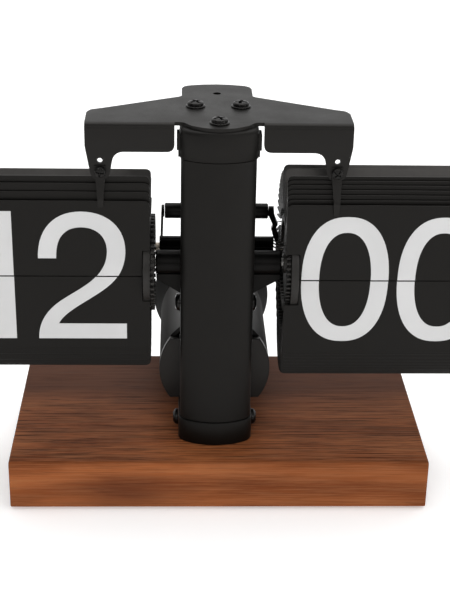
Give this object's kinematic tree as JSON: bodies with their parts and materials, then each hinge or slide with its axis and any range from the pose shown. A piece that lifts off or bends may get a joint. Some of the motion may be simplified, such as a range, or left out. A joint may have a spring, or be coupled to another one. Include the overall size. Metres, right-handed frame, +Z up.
{
  "type": "flip number clock",
  "caption": "Desk flip clock with hour and minute card drums on one axle, a black column, sheet bracket, rear battery can and walnut base",
  "frame": {"origin": "On the felt under the base, on the centre plane of the column and halfway along the base's depth", "axes": "+X along the card rows to the viewer's right, +Y to the back where the battery can is, +Z up"},
  "size_m": [0.2522, 0.1223, 0.169],
  "materials": {
    "walnut": "oiled open-grain board, soft sheen",
    "felt": "dense glued felt",
    "matt_black": "fine matt powder coat",
    "grey_sheet": "semi-matt charcoal paint",
    "card_black": "thin matt printed card plastic",
    "moulded_black": "injection-moulded satin",
    "gloss_black": "polished moulding",
    "black_steel": "blackened steel",
    "steel": "turned, bright",
    "brass": "stamped, bright",
    "cream": "natural acetal",
    "board": "solder-masked board",
    "cell": "printed sleeve"
  },
  "bodies": {
    "root": {"axle_bracket_left": "matt_black", "axle_bracket_right": "matt_black", "base_board": "walnut", "base_felt": "felt", "base_screw_1": "steel", "base_screw_2": "steel", "battery_cell": "cell", "battery_contact": "brass", "battery_housing": "gloss_black", "battery_tube": "moulded_black", "bracket_screw_1": "black_steel", "bracket_screw_2": "black_steel", "bracket_screw_3": "black_steel", "circuit_board": "board", "column_foot": "matt_black", "column_front_cover": "matt_black", "column_rear_cover": "matt_black", "column_top_cap": "matt_black", "cover_screw_left": "black_steel", "cover_screw_right": "black_steel", "finger_screw_left": "black_steel", "finger_screw_right": "black_steel", "foot_screw_left": "black_steel", "foot_screw_right": "black_steel", "hour_card_lower": "card_black", "hour_cards_fallen": "card_black", "hour_cards_waiting": "card_black", "minute_card_lower": "card_black", "minute_cards_fallen": "card_black", "minute_cards_waiting": "card_black", "motor": "steel", "movement_plate_left": "steel", "movement_plate_right": "steel", "pivot_bar": "black_steel", "plate_spacer_lower": "brass", "plate_spacer_upper": "brass", "spring_post_left": "black_steel", "spring_post_right": "black_steel", "top_bracket": "grey_sheet"},
    "minute_works": {"minute_drum": "moulded_black", "minute_ring": "moulded_black", "main_axle": "steel", "axle_collar": "black_steel", "setting_knob": "moulded_black", "minute_wheel": "brass"},
    "hour_works": {"hour_drum": "moulded_black", "hour_ring": "moulded_black", "hour_wheel": "brass"},
    "transfer_works": {"transfer_arbor": "steel", "transfer_gear": "brass"},
    "motor_rotor": {"motor_pinion": "steel"},
    "hour_flap": {"hour_card_upper": "card_black"},
    "minute_flap": {"minute_card_upper": "card_black"},
    "click_left": {"click_lever_left": "black_steel", "click_roller_left": "cream"},
    "click_right": {"click_lever_right": "black_steel", "click_roller_right": "cream"},
    "finger_left": {"card_finger_left": "grey_sheet"},
    "finger_right": {"card_finger_right": "grey_sheet"},
    "battery_door": {"battery_cap": "gloss_black"}
  },
  "joints": [
    {"name": "minute_turn", "type": "hinge", "parent": "root", "child": "minute_works", "pos_m": [0, -0.0135, 0.1004], "axis": [1, 0, 0], "continuous": true},
    {"name": "hour_turn", "type": "hinge", "parent": "root", "child": "hour_works", "pos_m": [0, -0.0135, 0.1004], "axis": [1, 0, 0], "continuous": true},
    {"name": "transfer_turn", "type": "hinge", "parent": "root", "child": "transfer_works", "pos_m": [0, -0.0135, 0.0829], "axis": [1, 0, 0], "continuous": true},
    {"name": "motor_turn", "type": "hinge", "parent": "root", "child": "motor_rotor", "pos_m": [0, -0.0135, 0.1154], "axis": [1, 0, 0], "continuous": true},
    {"name": "hour_flap_fall", "type": "hinge", "parent": "root", "child": "hour_flap", "pos_m": [-0.0738, -0.0297, 0.1004], "axis": [1, 0, 0], "range_deg": [0, 178]},
    {"name": "minute_flap_fall", "type": "hinge", "parent": "root", "child": "minute_flap", "pos_m": [0.0738, -0.0332, 0.1004], "axis": [1, 0, 0], "range_deg": [0, 178]},
    {"name": "click_left_swing", "type": "hinge", "parent": "root", "child": "click_left", "pos_m": [-0.0228, -0.002, 0.1195], "axis": [1, 0, 0], "range_deg": [0, 8], "stiffness_Nm_per_rad": 0.02},
    {"name": "click_right_swing", "type": "hinge", "parent": "root", "child": "click_right", "pos_m": [0.0228, -0.002, 0.1195], "axis": [1, 0, 0], "range_deg": [0, 8], "stiffness_Nm_per_rad": 0.02},
    {"name": "finger_left_flex", "type": "hinge", "parent": "root", "child": "finger_left", "pos_m": [-0.048, -0.0289, 0.1488], "axis": [1, 0, 0], "range_deg": [-3, 0], "stiffness_Nm_per_rad": 0.02},
    {"name": "finger_right_flex", "type": "hinge", "parent": "root", "child": "finger_right", "pos_m": [0.048, -0.0289, 0.1488], "axis": [1, 0, 0], "range_deg": [-3, 0], "stiffness_Nm_per_rad": 0.02},
    {"name": "battery_cap_twist", "type": "hinge", "parent": "root", "child": "battery_door", "pos_m": [0, 0.0601, 0.0478], "axis": [0, 1, 0], "range_deg": [0, 45]}
  ],
  "couplings": [
    {"joint": "hour_turn", "follows": "minute_turn", "ratio": 0.041667},
    {"joint": "transfer_turn", "follows": "minute_turn", "ratio": -0.25},
    {"joint": "motor_turn", "follows": "minute_turn", "ratio": -5}
  ]
}
